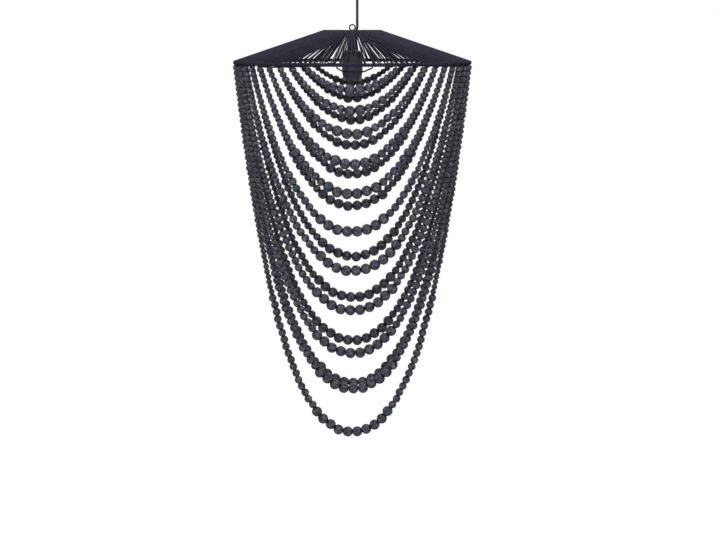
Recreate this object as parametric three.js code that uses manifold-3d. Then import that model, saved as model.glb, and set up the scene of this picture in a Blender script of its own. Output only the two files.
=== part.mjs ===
// Beaded chandelier: a shallow cone of two wire rings wound with string, a lampholder inside it,
// and twenty-one graded strands of wooden beads that hang side by side from the lower ring.
// Millimetres, +Z up. The origin is the middle of the ceiling rose's top face.
import * as THREE from "three";
import { mergeVertices } from "three/addons/utils/BufferGeometryUtils.js";
import Module from "manifold-3d";

// Frame
const frameDiameter = 480; // over the strings at the lower ring
const topRingDiameter = 120; // over the strings at the top ring
const frameHeight = 61; // between the two ring wires
const wire = 3;
const stringWidth = 2.2;
const windingLoops = 18;
const strutCount = 6;
const fit = 0.3; // between pieces that touch

// Beads: diameter across the hole, and the length along it
const smallBead = 12;
const smallBeadLength = 10.8;
const mediumBead = 16;
const mediumBeadLength = 15;
const largeBead = 21;
const largeBeadLength = 19.7;
const thread = 1.6;
const longestDrop = 762; // lower ring to the lowest bead's middle
const tieAngle = Math.PI / 27; // between neighbouring tie points on the ring
const swayLimit = Math.PI / 12;
const beadWeightPower = 0.7; // how a bead's weight for its length grows with its radius

// Each strand from the shortest to the longest but one: its drop, its large beads in all, the
// medium beads on either side of them, and how many more small beads its left side has
const frontDropShares = [0.055, 0.11, 0.175, 0.249, 0.332, 0.431, 0.536, 0.651, 0.768, 0.875];
const backDropShares = [0.053, 0.097, 0.158, 0.2325, 0.312, 0.403, 0.536, 0.6485, 0.765, 0.873];
const largeCounts = [2, 2, 4, 5, 6, 8, 10, 10, 10, 10];
const mediumCounts = [2, 3, 4, 5, 6, 7, 10, 12, 13, 15];
const frontLeans = [0, 1, 0, 1, -1, 0, 2, 1, 1, 2];
const backLeans = [0, 0, 0, 0, 0, 0, 2, 1, 0, 1];
const longestLarge = 10;
const longestMedium = 17;

// Ceiling rose
const roseDiameter = 100;
const roseHeight = 26;
const roseWall = 1.5;
const roseEdge = 8; // rounding of the canopy's lower edge
const gripDiameter = 16;
const gripHeight = 8; // below the canopy
const gripThread = 10;
const gripThreadLength = 9; // above the canopy's floor
const bracketGap = 4.5; // between its ends and the canopy's wall
const bracketWidth = 16;
const bracketSheet = 1.5;
const bracketTab = 14;
const bracketHole = 4.4;
const bracketHolePitch = 60;
const roseScrew = 3;
const roseScrewLength = 9;
const roseScrewHead = 6;
const roseScrewHeadHeight = 2.2;
const blockLength = 30;
const blockWidth = 14;
const blockHeight = 9;

// Cord
const cordDiameter = 5.2;
const cordDrop = 84; // lower face of the grip to the top ring wire
const cordJoint = 7; // length of each of the two short stretches where it bends
const cordSwerve = 2; // its bend starts this much above the eyelet's middle

// Eyelet and its bar
const eyeletDiameter = 14;
const eyeletWire = 2.7;

// Lampholder, with heights from the lower ring's wire
const holderDiameter = 42;
const holderTop = 24;
const capHeight = 22;
const capTopDiameter = 30;
const holderWall = 3;
const shoulderDepth = 17; // the body's shoulder, below the wire
const skirtDiameter = 35.6;
const mouthDiameter = 28.4;
const holderDepth = 36; // the mouth's rim, below the wire
const holderFloor = 4;
const recessDepth = 4;
const reliefLength = 20;
const reliefDiameter = 12;
const reliefTipDiameter = 8;
const collarSheet = 1.6;
const collarOverhang = 1.2; // past the lampholder's side
const nutHeight = 12;
const nutTipDiameter = 38;
const nutRibs = 3;
const nutRibDepth = 0.8;
const shellWall = 0.7;
const shellLength = 25;
const insulatorHeight = 2;
const contactWidth = 6;
const contactSheet = 0.6;
const contactLength = 16;
const contactRise = 4.5;
const spokeCount = 3;
const spokeDip = 6; // how far the spider's wires run below the ring's wire
const spokeBendRadius = 60; // where they turn down to the collar

// Facets
const beadSides = 3;
const stringSides = 3;
const wireSides = 4;
const cordSides = 6;
const screwSides = 6;
const roundSteps = 12;
const roseSteps = 16;
const smallSteps = 8;
const ringSteps = 54;
const topRingSteps = 36;
const arcSteps = 3; // of each half turn of string round a ring

const stringColour = { color: 0x2d2d35, roughness: 0.9, metalness: 0 };
const beadColour = { color: 0x232329, roughness: 0.6, metalness: 0 };
const metalColour = { color: 0x26262a, roughness: 0.5, metalness: 0.4 };
const holderColour = { color: 0x232327, roughness: 0.45, metalness: 0 };
const cordColour = { color: 0x1c1c1f, roughness: 0.7, metalness: 0 };
const brassColour = { color: 0xb08d4a, roughness: 0.35, metalness: 1 };
const paleColour = { color: 0xe6e2d8, roughness: 0.5, metalness: 0 };

const lowerRadius = frameDiameter / 2 - stringWidth - wire / 2;
const topRadius = topRingDiameter / 2 - stringWidth - wire / 2;
const eyeletHeight = frameHeight + wire / 2 + fit + eyeletDiameter / 2;
const cordOffset = eyeletDiameter / 2 + fit + cordDiameter / 2; // cord from the frame's middle
const reliefTop = holderTop + fit + reliefLength;
const gripFace = -roseHeight - gripHeight;
const frameLevel = gripFace - cordDrop - frameHeight; // the lower ring's wire
const windRadius = (wire / 2 + fit + stringWidth / 2) / Math.cos(Math.PI / arcSteps / 2);
const firstBeadDepth = wire / 2 + stringWidth + fit + smallBead / 2; // its middle, off the ring's
const seatDepth = (wire + fit + thread * Math.sin(swayLimit)) / 2; // a thread's end off the ring's middle

const wasm = await Module();
wasm.setup();

const chandelier = new THREE.Group();
const pendant = new THREE.Group();
pendant.position.set(-cordOffset, 0, frameLevel);
chandelier.add(pendant);

function place(parent, name, geometry, finish) {
  const mesh = new THREE.Mesh(geometry, new THREE.MeshStandardMaterial(finish));
  mesh.name = name;
  parent.add(mesh);
  return mesh;
}

// Geometry helpers

/** A geometry as a solid for a join or a cut. */
function toSolid(geometry) {
  const bare = geometry.clone();
  bare.deleteAttribute("normal");
  bare.deleteAttribute("uv");
  const merged = mergeVertices(bare, fit / 100);
  const vertProperties = new Float32Array(merged.attributes.position.array);
  const triVerts = new Uint32Array(merged.index.array);
  return new wasm.Manifold(new wasm.Mesh({ numProp: 3, vertProperties, triVerts }));
}

function fromSolid(solid) {
  const mesh = solid.getMesh();
  const geometry = new THREE.BufferGeometry();
  geometry.setAttribute("position", new THREE.BufferAttribute(mesh.vertProperties, 3));
  geometry.setIndex(new THREE.BufferAttribute(mesh.triVerts, 1));
  return geometry;
}

/** A closed skin over rings of equally many points, with flat ends. */
function skin(rings) {
  const sides = rings[0].length;
  const last = (rings.length - 1) * sides;
  const index = [];
  for (let start = 0; start < last; start += sides) {
    for (let j = 0; j < sides; j += 1) {
      const k = (j + 1) % sides;
      index.push(start + j, start + k, start + sides + k);
      index.push(start + j, start + sides + k, start + sides + j);
    }
  }
  for (let j = 1; j < sides - 1; j += 1) {
    index.push(0, j + 1, j);
    index.push(last, last + j, last + j + 1);
  }
  const geometry = new THREE.BufferGeometry();
  const position = rings.flat().flatMap((point) => point.toArray());
  geometry.setAttribute("position", new THREE.Float32BufferAttribute(position, 3));
  geometry.setIndex(index);
  return geometry;
}

/** One ring of points round a centre, in the plane of two unit vectors. */
function ringAt(centre, across, up, radius, sides) {
  return Array.from({ length: sides }, (_, j) => {
    const angle = (2 * Math.PI * j) / sides;
    return centre
      .clone()
      .addScaledVector(across, radius * Math.cos(angle))
      .addScaledVector(up, radius * Math.sin(angle));
  });
}

/** A wire or string along straight pieces between points. */
function sweep(points, diameter, sides) {
  const ways = points.slice(1).map((point, i) => point.clone().sub(points[i]).normalize());
  const across = new THREE.Vector3(ways[0].z, ways[0].x, ways[0].y);
  const rings = points.map((point, i) => {
    const before = ways[Math.max(i - 1, 0)];
    const after = ways[Math.min(i, ways.length - 1)];
    const along = before.clone().add(after).normalize();
    across.addScaledVector(along, -across.dot(along)).normalize();
    const up = along.clone().cross(across);
    return ringAt(point, across.clone(), up, diameter / 2, sides);
  });
  return skin(rings);
}

/** A turned piece: a profile of [radius, height] pairs, closed on itself or on the axis. */
function turned(profile, closed = true, steps = roundSteps) {
  const points = profile.map(([radius, height]) => new THREE.Vector2(radius, height));
  if (closed) points.push(points[0].clone());
  return new THREE.LatheGeometry(points, steps).rotateX(Math.PI / 2);
}

/** A point at a distance from the pendant's axis, an angle round it and a height. */
function polar(radius, angle, height) {
  return new THREE.Vector3(radius * Math.cos(angle), radius * Math.sin(angle), height);
}

/** Where a rising function crosses zero. */
function crossing(low, high, value, halvings = 36) {
  for (let i = 0; i < halvings; i += 1) {
    const middle = (low + high) / 2;
    if (value(middle) < 0) low = middle;
    else high = middle;
  }
  return (low + high) / 2;
}

// Ceiling rose

function roseCanopy() {
  const outer = roseDiameter / 2;
  const hole = gripThread / 2 + fit;
  const profile = [[hole, -roseHeight]];
  const corner = (radius, inset) => {
    for (let i = 0; i <= 2; i += 1) {
      const angle = (Math.PI / 4) * i;
      const reach = outer - inset - radius + radius * Math.sin(angle);
      profile.push([reach, -roseHeight + inset + radius - radius * Math.cos(angle)]);
    }
  };
  corner(roseEdge, 0);
  profile.push([outer, 0], [outer - roseWall, 0]);
  const inner = profile.length;
  corner(roseEdge - roseWall, roseWall);
  profile.push(...profile.splice(inner).reverse(), [hole, -roseHeight + roseWall]);
  const shell = toSolid(turned(profile, true, roseSteps));
  const bore = new THREE.CylinderGeometry(roseScrew / 2 + fit, roseScrew / 2 + fit, roseDiameter * 2, screwSides);
  bore.rotateZ(Math.PI / 2).translate(0, 0, -bracketTab / 2);
  return fromSolid(shell.subtract(toSolid(bore)));
}

function roseBracket() {
  const half = roseDiameter / 2 - roseWall - bracketGap;
  const outline = new THREE.Shape();
  outline.moveTo(-half, 0);
  outline.lineTo(-half, -bracketTab);
  outline.lineTo(-half + bracketSheet, -bracketTab);
  outline.lineTo(-half + bracketSheet, -bracketSheet);
  outline.lineTo(half - bracketSheet, -bracketSheet);
  outline.lineTo(half - bracketSheet, -bracketTab);
  outline.lineTo(half, -bracketTab);
  outline.lineTo(half, 0);
  const bar = new THREE.ExtrudeGeometry(outline, { depth: bracketWidth, bevelEnabled: false });
  bar.rotateX(Math.PI / 2).translate(0, bracketWidth / 2, 0);
  let solid = toSolid(bar);
  for (const side of [-1, 1]) {
    const hole = new THREE.CylinderGeometry(bracketHole / 2, bracketHole / 2, bracketTab, screwSides);
    hole.rotateX(Math.PI / 2).translate((side * bracketHolePitch) / 2, 0, 0);
    const bore = new THREE.CylinderGeometry(roseScrew / 2 + fit, roseScrew / 2 + fit, bracketTab, screwSides);
    bore.rotateZ(Math.PI / 2).translate(side * half, 0, -bracketTab / 2);
    solid = solid.subtract(toSolid(hole)).subtract(toSolid(bore));
  }
  return fromSolid(solid);
}

function roseScrewSolid() {
  const head = roseDiameter / 2 + fit;
  return turned(
    [
      [0, head - roseScrewLength],
      [roseScrew / 2, head - roseScrewLength],
      [roseScrew / 2, head],
      [roseScrewHead / 2, head],
      [roseScrewHead / 3, head + roseScrewHeadHeight],
      [0, head + roseScrewHeadHeight],
    ],
    false,
    screwSides,
  );
}

/** A flanged nut under the canopy with a threaded stem through its floor. */
function roseCordGrip() {
  const bore = cordDiameter / 2 + fit;
  const face = -roseHeight - fit;
  return turned(
    [
      [bore, gripFace],
      [gripDiameter / 3, gripFace],
      [gripDiameter / 2, gripFace + gripHeight / 3],
      [gripDiameter / 2, face],
      [gripThread / 2, face],
      [gripThread / 2, face + gripThreadLength],
      [bore, face + gripThreadLength],
    ],
    true,
    smallSteps,
  );
}

function addRose() {
  place(chandelier, "rose_canopy", roseCanopy(), metalColour);
  place(chandelier, "rose_bracket", roseBracket(), metalColour);
  place(chandelier, "rose_cord_grip", roseCordGrip(), holderColour);
  for (const [name, turn] of [["rose_screw_right", 1], ["rose_screw_left", -1]]) {
    const screw = place(chandelier, name, roseScrewSolid(), brassColour);
    screw.position.z = -bracketTab / 2;
    screw.rotation.y = (turn * Math.PI) / 2;
  }
  const block = new THREE.BoxGeometry(blockLength, blockWidth, blockHeight);
  const terminal = place(chandelier, "terminal_block", block, paleColour);
  terminal.position.z = -bracketSheet - fit - blockHeight / 2;
}

// Cord

/** A short round stretch, rounded at both ends about the point where it bends. */
function cordStretch(length) {
  const radius = cordDiameter / 2;
  const profile = [[0, -length], [radius / 2, -Math.sqrt(length ** 2 - radius ** 2 / 4)]];
  profile.push([radius, -Math.sqrt(length ** 2 - radius ** 2)]);
  for (const share of [0, 1 / 3, 2 / 3, 1]) {
    const angle = (share * Math.PI) / 2;
    profile.push([radius * Math.cos(angle), radius * Math.sin(angle)]);
  }
  return turned(profile, false, cordSides);
}

/** The cord's middle line past the eyelet and, in two even bends, to the strain relief. */
function cordRoute(top) {
  const start = eyeletHeight + cordSwerve;
  const end = reliefTop + fit;
  const bendRadius = ((start - end) ** 2 / cordOffset + cordOffset) / 4;
  const bendAngle = Math.asin((start - end) / 2 / bendRadius);
  const bend = [0, 1 / 3, 2 / 3, 1].map((share) => {
    const across = bendRadius * (1 - Math.cos(bendAngle * share));
    return { across, along: bendRadius * Math.sin(bendAngle * share) };
  });
  const upper = bend.map(({ across, along }) => new THREE.Vector3(cordOffset - across, 0, start - along));
  const lower = bend.map(({ across, along }) => new THREE.Vector3(across, 0, end + along));
  return [new THREE.Vector3(cordOffset, 0, top), ...upper, ...lower.reverse().slice(1)];
}

function addCord() {
  const radius = cordDiameter / 2;
  const pivot = gripFace - fit - radius;
  const inside = gripThreadLength + gripHeight;
  const tail = new THREE.CylinderGeometry(radius, radius, inside, cordSides);
  tail.rotateX(Math.PI / 2).translate(0, 0, gripFace + inside / 2);
  place(chandelier, "cord_in_rose", tail, cordColour);
  place(chandelier, "cord_head", cordStretch(cordJoint), cordColour).position.z = pivot;
  const neck = new THREE.CylinderGeometry(radius, radius, cordJoint, cordSides);
  neck.rotateX(Math.PI / 2).translate(0, 0, pivot - cordJoint - fit - cordJoint / 2);
  place(chandelier, "cord_neck", neck, cordColour);
  const top = pivot - 2 * (cordJoint + fit) - frameLevel;
  place(pendant, "power_cord", sweep(cordRoute(top), cordDiameter, cordSides), cordColour);
}

// Wire frame

function addRings() {
  const lower = new THREE.TorusGeometry(lowerRadius, wire / 2, wireSides, ringSteps);
  place(pendant, "lower_ring", lower, metalColour);
  const top = new THREE.TorusGeometry(topRadius, wire / 2, wireSides, topRingSteps);
  place(pendant, "top_ring", top, metalColour).position.z = frameHeight;
}

/** The unit vector up the cone's slope at an angle round it. */
function slopeAt(angle) {
  const rise = polar(topRadius, angle, frameHeight).sub(polar(lowerRadius, angle, 0));
  return rise.normalize();
}

function addStruts() {
  for (let i = 0; i < strutCount; i += 1) {
    const angle = (2 * Math.PI * (i + 1 / 3)) / strutCount;
    const inset = wire / 2 + fit;
    const foot = polar(lowerRadius, angle, 0).addScaledVector(slopeAt(angle), inset);
    const head = polar(topRadius, angle, frameHeight).addScaledVector(slopeAt(angle), -inset);
    place(pendant, `frame_strut_${i + 1}`, sweep([foot, head], wire, wireSides), metalColour);
  }
}

function addEyelet() {
  const reach = topRadius - wire / 2 - fit;
  const ends = [new THREE.Vector3(0, -reach, frameHeight), new THREE.Vector3(0, reach, frameHeight)];
  place(pendant, "hanger_bar", sweep(ends, wire, wireSides), metalColour);
  const loop = new THREE.TorusGeometry((eyeletDiameter - eyeletWire) / 2, eyeletWire / 2, 5, roundSteps);
  loop.rotateX(Math.PI / 2).translate(0, 0, eyeletHeight);
  place(pendant, "hanging_eyelet", loop, metalColour);
}

/** A flat collar under the lampholder's shoulder and three wires out to the lower ring. */
function frameSpider() {
  const inner = skirtDiameter / 2 + fit;
  const outer = holderDiameter / 2 + collarOverhang;
  const top = -shoulderDepth - fit;
  const collar = [[inner, top], [inner, top - collarSheet], [outer, top - collarSheet], [outer, top]];
  let solid = toSolid(turned(collar));
  const rim = lowerRadius * Math.cos(Math.PI / ringSteps) - wire / 2 - fit;
  for (let i = 0; i < spokeCount; i += 1) {
    const angle = (2 * Math.PI * i) / spokeCount - tieAngle * 2.5; // between two strands' ties
    const route = [
      polar(holderDiameter / 2 + fit, angle, top - collarSheet / 2),
      polar(outer + wire, angle, top - collarSheet / 2),
      polar((outer + spokeBendRadius) / 2, angle, (top - spokeDip) / 2),
      polar(spokeBendRadius, angle, -spokeDip),
      polar(rim - spokeDip * 2, angle, -spokeDip),
      polar(rim, angle, 0),
    ];
    solid = solid.add(toSolid(sweep(route, wire, wireSides)));
  }
  return fromSolid(solid);
}

// String winding

/** One unbroken string over the cone, round the top ring, back under it and round the lower ring. */
function windingRoute() {
  const pitch = (2 * Math.PI) / windingLoops;
  const points = [];
  const turnRound = (angle, radius, height, from) => {
    const slope = slopeAt(angle);
    const side = polar(1, angle + Math.PI / 2, 0).cross(slope).negate();
    for (let i = 0; i <= arcSteps; i += 1) {
      const turn = from - (Math.PI * i) / arcSteps;
      const point = polar(radius, angle, height);
      point.addScaledVector(side, windRadius * Math.sin(turn));
      point.addScaledVector(slope, windRadius * Math.cos(turn));
      points.push(point);
    }
  };
  for (let i = 0; i < windingLoops; i += 1) {
    const foot = Math.PI / 2 + pitch * i;
    turnRound(foot, lowerRadius, 0, -Math.PI / 2);
    turnRound(foot + pitch / 2, topRadius, frameHeight, Math.PI / 2);
  }
  return points;
}

/** The least gap between two stretches of a string that are not neighbours along it. */
function leastGap(points, width) {
  const samples = [];
  points.slice(1).forEach((end, i) => {
    const start = points[i];
    const count = Math.ceil(start.distanceTo(end) / width);
    for (let j = 0; j < count; j += 1) {
      samples.push({ at: start.clone().lerp(end, j / count), piece: i });
    }
  });
  let least = Infinity;
  for (const [i, a] of samples.entries()) {
    for (const b of samples.slice(i + 1)) {
      if (b.piece > a.piece + 1) least = Math.min(least, a.at.distanceTo(b.at));
    }
  }
  return least - width;
}

function addWinding() {
  const route = windingRoute();
  console.log(`least gap of the string to itself: ${leastGap(route, stringWidth).toFixed(2)} mm`);
  place(pendant, "string_winding", sweep(route, stringWidth, stringSides), stringColour);
}

// Lampholder

function lampholderCap() {
  const outer = holderDiameter / 2;
  const top = capTopDiameter / 2;
  const base = holderTop - capHeight + fit;
  const hole = cordDiameter / 2 + fit;
  return turned([
    [hole, holderTop - holderWall],
    [top - holderWall / 2, holderTop - holderWall],
    [outer - holderWall, holderTop - capHeight / 2],
    [outer - holderWall, base],
    [outer, base],
    [outer, holderTop - capHeight / 2],
    [(top + outer * 2) / 3, holderTop - capHeight / 5],
    [top, holderTop],
    [hole, holderTop],
  ]);
}

function lampholderBody() {
  const outer = holderDiameter / 2;
  const rim = holderTop - capHeight;
  const floor = rim - recessDepth - holderFloor;
  return turned(
    [
      [0, rim - recessDepth],
      [outer - holderWall, rim - recessDepth],
      [outer - holderWall, rim],
      [outer, rim],
      [outer, -shoulderDepth],
      [skirtDiameter / 2, -shoulderDepth],
      [skirtDiameter / 2, -holderDepth],
      [mouthDiameter / 2, -holderDepth],
      [mouthDiameter / 2, floor],
      [0, floor],
    ].reverse(),
    false,
  );
}

/** The ribbed nut that clamps the spider's collar against the shoulder. */
function shadeRingNut() {
  const top = -shoulderDepth - collarSheet - 2 * fit;
  const bore = skirtDiameter / 2 + fit;
  const profile = [[bore, top - nutHeight], [bore, top]];
  for (let i = 0; i < nutRibs; i += 1) {
    const taper = (level) => holderDiameter / 2 - ((holderDiameter - nutTipDiameter) / 2) * level;
    profile.push([taper(i / nutRibs), top - (nutHeight * i) / nutRibs]);
    const groove = (i + 0.5) / nutRibs;
    profile.push([taper(groove) - nutRibDepth, top - nutHeight * groove]);
  }
  profile.push([nutTipDiameter / 2, top - nutHeight]);
  return turned(profile.reverse());
}

function strainRelief() {
  const bore = cordDiameter / 2 + fit;
  const base = holderTop + fit;
  const top = base + reliefLength;
  const hips = base + reliefLength / 4;
  return turned(
    [
      [bore, base],
      [bore, top],
      [reliefTipDiameter / 2, top],
      [reliefDiameter / 2, hips],
      [reliefDiameter / 2, base],
    ].reverse(),
    true,
    smallSteps,
  );
}

function addLampholder() {
  const floor = holderTop - capHeight - recessDepth - holderFloor;
  place(pendant, "lampholder_cap", lampholderCap(), holderColour);
  place(pendant, "lampholder_body", lampholderBody(), holderColour);
  place(pendant, "strain_relief", strainRelief(), cordColour);
  place(pendant, "shade_ring_nut", shadeRingNut(), holderColour);
  place(pendant, "frame_spider", frameSpider(), metalColour);
  const bore = mouthDiameter / 2 - fit;
  const disc = new THREE.CylinderGeometry(bore, bore, insulatorHeight, roundSteps);
  disc.rotateX(Math.PI / 2).translate(0, 0, floor - fit - insulatorHeight / 2);
  place(pendant, "contact_insulator", disc, paleColour);
  const shellTop = floor - insulatorHeight - 2 * fit;
  const shell = [
    [bore, shellTop - shellLength],
    [bore, shellTop],
    [bore - shellWall, shellTop],
    [bore - shellWall, shellTop - shellLength],
  ];
  place(pendant, "screw_shell", turned(shell), brassColour);
  place(pendant, "centre_contact", centreContact(), brassColour).position.z = shellTop;
}

/** A springy strip with one end on the insulator and the other turned down towards the bulb. */
function centreContact() {
  const half = contactLength / 2;
  const outline = new THREE.Shape();
  outline.moveTo(-half, 0);
  outline.lineTo(-half, -contactSheet);
  outline.lineTo(-half / 3, -contactSheet);
  outline.lineTo(half / 3, -contactRise - contactSheet);
  outline.lineTo(half, -contactRise);
  outline.lineTo(half, contactSheet - contactRise);
  outline.lineTo(half / 3, -contactRise);
  outline.lineTo(-half / 3, 0);
  const strip = new THREE.ExtrudeGeometry(outline, { depth: contactWidth, bevelEnabled: false });
  return strip.rotateX(Math.PI / 2).translate(0, contactWidth / 2, 0);
}

// Bead strands

const beadKinds = {
  small: { radius: smallBead / 2, length: smallBeadLength },
  medium: { radius: mediumBead / 2, length: mediumBeadLength },
  large: { radius: largeBead / 2, length: largeBeadLength },
};

/** The beads of a strand from its left end to its right end. */
function graded(small, medium, large, lean) {
  const left = Math.max(Math.ceil((small + lean) / 2), 1);
  const right = Math.max(small - left, 1);
  const row = (kind, count) => Array(count).fill(beadKinds[kind]);
  return [
    ...row("small", left),
    ...row("medium", medium),
    ...row("large", large),
    ...row("medium", medium),
    ...row("small", right),
  ];
}

/** Where beads on a thread come to rest between two ties at the same height. */
function hang(beads, span, lead) {
  const weights = beads.map((bead) => bead.radius ** beadWeightPower * bead.length);
  const steps = beads.slice(1).map((bead, i) => (bead.length + beads[i].length) / 2);
  steps.unshift(lead);
  steps.push(lead);
  const load = weights.reduce((sum, weight) => sum + weight);
  const walk = (pull, lift) => {
    const at = new THREE.Vector2();
    const places = [];
    steps.forEach((step, i) => {
      const tension = Math.hypot(pull, lift);
      at.x += (step * pull) / tension;
      at.y -= (step * lift) / tension;
      places.push(at.clone());
      lift -= weights[i] ?? 0;
    });
    return { places, end: places.pop() };
  };
  const level = (pull) => crossing(0, load, (lift) => -walk(pull, lift).end.y);
  const across = (power) => walk(load * 2 ** power, level(load * 2 ** power)).end.x;
  const power = crossing(-10, 10, (guess) => across(guess) - span);
  return walk(load * 2 ** power, level(load * 2 ** power)).places;
}

/** How far along a thread from its tie a distance off the ring is reached, however it sways. */
function alongThread(clear, way, tie) {
  const tangent = new THREE.Vector3(-Math.sin(tie), Math.cos(tie), 0);
  const sway = new THREE.Vector3(1, 0, 0);
  const shares = [-swayLimit, 0, swayLimit].map((angle) => {
    const swayed = new THREE.Vector3(way.x, 0, way.y).normalize().applyAxisAngle(sway, angle);
    return Math.sqrt(1 - swayed.dot(tangent) ** 2);
  });
  return clear / Math.min(...shares);
}

// A bead with few sides is swollen so that its outline is as wide as the round one's
const beadSwell = 1 / Math.cos(Math.PI / beadSides / 2);

/** The number of small beads and the rest shape that bring a strand nearest to its drop. */
function fitStrand({ tie, drop, medium, large, lean }) {
  const span = 2 * lowerRadius * Math.cos(tie);
  let lead = firstBeadDepth;
  let best = null;
  for (let round = 0; round < 3; round += 1) {
    const shapeWith = (small) => {
      const beads = graded(small, medium, large, lean);
      const length = beads.reduce((sum, bead) => sum + bead.length, 2 * lead);
      if (length < span) return { beads, error: -drop };
      const places = hang(beads, span, lead);
      const lowest = Math.min(...places.map((point) => point.y));
      return { beads, places, error: -lowest - drop };
    };
    const most = Math.ceil((span + 2 * drop) / smallBeadLength);
    const count = Math.ceil(crossing(2, most, (small) => shapeWith(Math.round(small)).error, 8));
    const shapes = [count - 1, count, count + 1].map(shapeWith).filter((shape) => shape.places);
    best = shapes.reduce((a, b) => (Math.abs(a.error) < Math.abs(b.error) ? a : b));
    lead = alongThread(firstBeadDepth, best.places[0], tie);
    best.places = hang(best.beads, span, lead);
  }
  return { ...best, span, tie };
}

/** Beads as swellings on one thread, with a bare stretch of thread up to the ring at each end. */
function strandGeometry({ beads, places, span, tie }) {
  const start = new THREE.Vector2();
  const end = new THREE.Vector2(span, 0);
  const depth = new THREE.Vector3(0, 1, 0);
  const rings = [];
  const addRing = (at, way, radius) => {
    const across = new THREE.Vector3(-way.y, 0, way.x).normalize();
    const centre = new THREE.Vector3(at.x - span / 2, 0, at.y);
    rings.push(ringAt(centre, depth, across, radius, beadSides));
  };
  const addTail = (knot, bead, place, outward) => {
    const way = place.clone().sub(knot).normalize();
    const seat = knot.clone().addScaledVector(way, alongThread(seatDepth, way, tie));
    const mouth = place.clone().addScaledVector(way, -bead.length / 2);
    const stops = outward ? [mouth, seat] : [seat, mouth];
    for (const stop of stops) addRing(stop, outward ? way.clone().negate() : way, thread / 2);
  };
  addTail(start, beads[0], places[0], false);
  beads.forEach((bead, i) => {
    const before = places[i - 1] ?? start;
    const after = places[i + 1] ?? end;
    addRing(places[i], after.clone().sub(before), bead.radius * beadSwell);
    if (i === beads.length - 1) return;
    const next = beads[i + 1];
    const share = bead.length / (bead.length + next.length);
    const neck = Math.min(bead.radius, next.radius) / 2;
    addRing(places[i].clone().lerp(after, share), after.clone().sub(places[i]), neck);
  });
  addTail(end, beads.at(-1), places.at(-1), true);
  return skin(rings);
}

function addStrand(name, plan, side) {
  const mesh = place(pendant, name, strandGeometry(fitStrand(plan)), beadColour);
  mesh.position.y = side * lowerRadius * Math.sin(plan.tie);
}

function addStrands() {
  const rows = [
    ["front_strand", -1, frontDropShares, frontLeans],
    ["back_strand", 1, backDropShares, backLeans],
  ];
  for (const [name, side, dropShares, leans] of rows) {
    dropShares.forEach((share, i) => {
      const plan = {
        tie: tieAngle * (dropShares.length - i),
        drop: longestDrop * share,
        medium: mediumCounts[i],
        large: largeCounts[i],
        lean: leans[i],
      };
      addStrand(`${name}_${i + 1}`, plan, side);
    });
  }
  const longest = { tie: 0, drop: longestDrop, medium: longestMedium, large: longestLarge, lean: 0 };
  addStrand("centre_strand", longest, 0);
}

addRose();
addCord();
addRings();
addStruts();
addEyelet();
addWinding();
addLampholder();
addStrands();

export default chandelier;
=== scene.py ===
import math
import random

import bmesh
import bpy
from bpy.props import FloatProperty, FloatVectorProperty, IntProperty, PointerProperty
from mathutils import Matrix, Vector


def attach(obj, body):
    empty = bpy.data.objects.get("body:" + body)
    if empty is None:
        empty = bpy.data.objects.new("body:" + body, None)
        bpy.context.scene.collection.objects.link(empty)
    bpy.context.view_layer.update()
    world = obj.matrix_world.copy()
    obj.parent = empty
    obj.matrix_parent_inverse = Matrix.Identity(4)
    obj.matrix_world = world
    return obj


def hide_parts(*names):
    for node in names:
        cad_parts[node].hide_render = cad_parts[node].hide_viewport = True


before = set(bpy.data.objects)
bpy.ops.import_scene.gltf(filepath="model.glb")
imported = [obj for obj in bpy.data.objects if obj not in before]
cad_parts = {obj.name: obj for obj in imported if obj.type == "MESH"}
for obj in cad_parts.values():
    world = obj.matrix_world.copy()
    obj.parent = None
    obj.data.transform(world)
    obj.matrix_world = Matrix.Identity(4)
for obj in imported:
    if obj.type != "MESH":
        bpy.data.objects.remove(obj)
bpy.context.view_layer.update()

bl_info = {
    "name": "Beaded Chandelier",
    "version": (1, 0, 0),
    "blender": (4, 2, 0),
    "location": "View3D > Sidebar > Chandelier",
    "description": "Builds the looks of a beaded chandelier on its solids",
    "category": "Add Mesh",
}

# Lengths are in metres. The frame's own heights count from the lower ring's wire.
FIT = 0.0003  # between pieces that touch

# Picture's width and focal length in its pixels, sensor in millimetres, camera's place and tilt
PICTURE_WIDTH = 716
FOCAL_LENGTH = 1670.6
SENSOR = 36.0
CAMERA_PLACE = (0.00156, -3.4, -0.10584)
DEGREES_DOWN = 8.317

# Name, place, diameter and power of each lamp
LAMPS = (
    ("left", (-1.4, -2.6, 0.9), 1.4, 31.0),
    ("right", (1.5, -2.6, 0.7), 1.4, 30.0),
    ("front", (-0.2, -2.7, 0.9), 1.2, 56.0),
    ("back", (0.6, 2.8, 1.0), 1.6, 36.0),
    ("top", (0.0, 0.1, 2.2), 0.6, 36.0),
)
LAMP_AIM = Vector((0, 0, -0.5))
SOFT_LIGHT = 0.1
FLOOR_RADIUS = 9.0
FLOOR_LEVEL = -2.3
FLOOR_GLOW = 0.24  # under the lamp
FLOOR_GLOW_RISE = 0.67
FLOOR_GLOW_REACH = 5.0
SEEING_RAYS = ("Camera", "Glossy", "Transmission")

# Ceiling rose, its cord grip and its side screws
ROSE_HEIGHT = 0.026
ROSE_RADIUS = 0.05
ROSE_WALL = 0.0015
ROSE_ROUNDING = 0.008
ROSE_HOLE = 0.0053
GRIP_HEIGHT = 0.008
GRIP_RADIUS = 0.008
GRIP_NOSE = 0.0056
GRIP_TAPER = 0.0028
GRIP_STEM = 0.005
GRIP_STEM_LENGTH = 0.009
GRIP_FACE = -ROSE_HEIGHT - GRIP_HEIGHT
SCREW_LEVEL = -0.007
SCREW_LENGTH = 0.009
SCREW_RADIUS = 0.0015
SCREW_HEAD_RADIUS = 0.003
SCREW_HEAD_HEIGHT = 0.0022
SCREW_DOME = 0.0006

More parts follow.
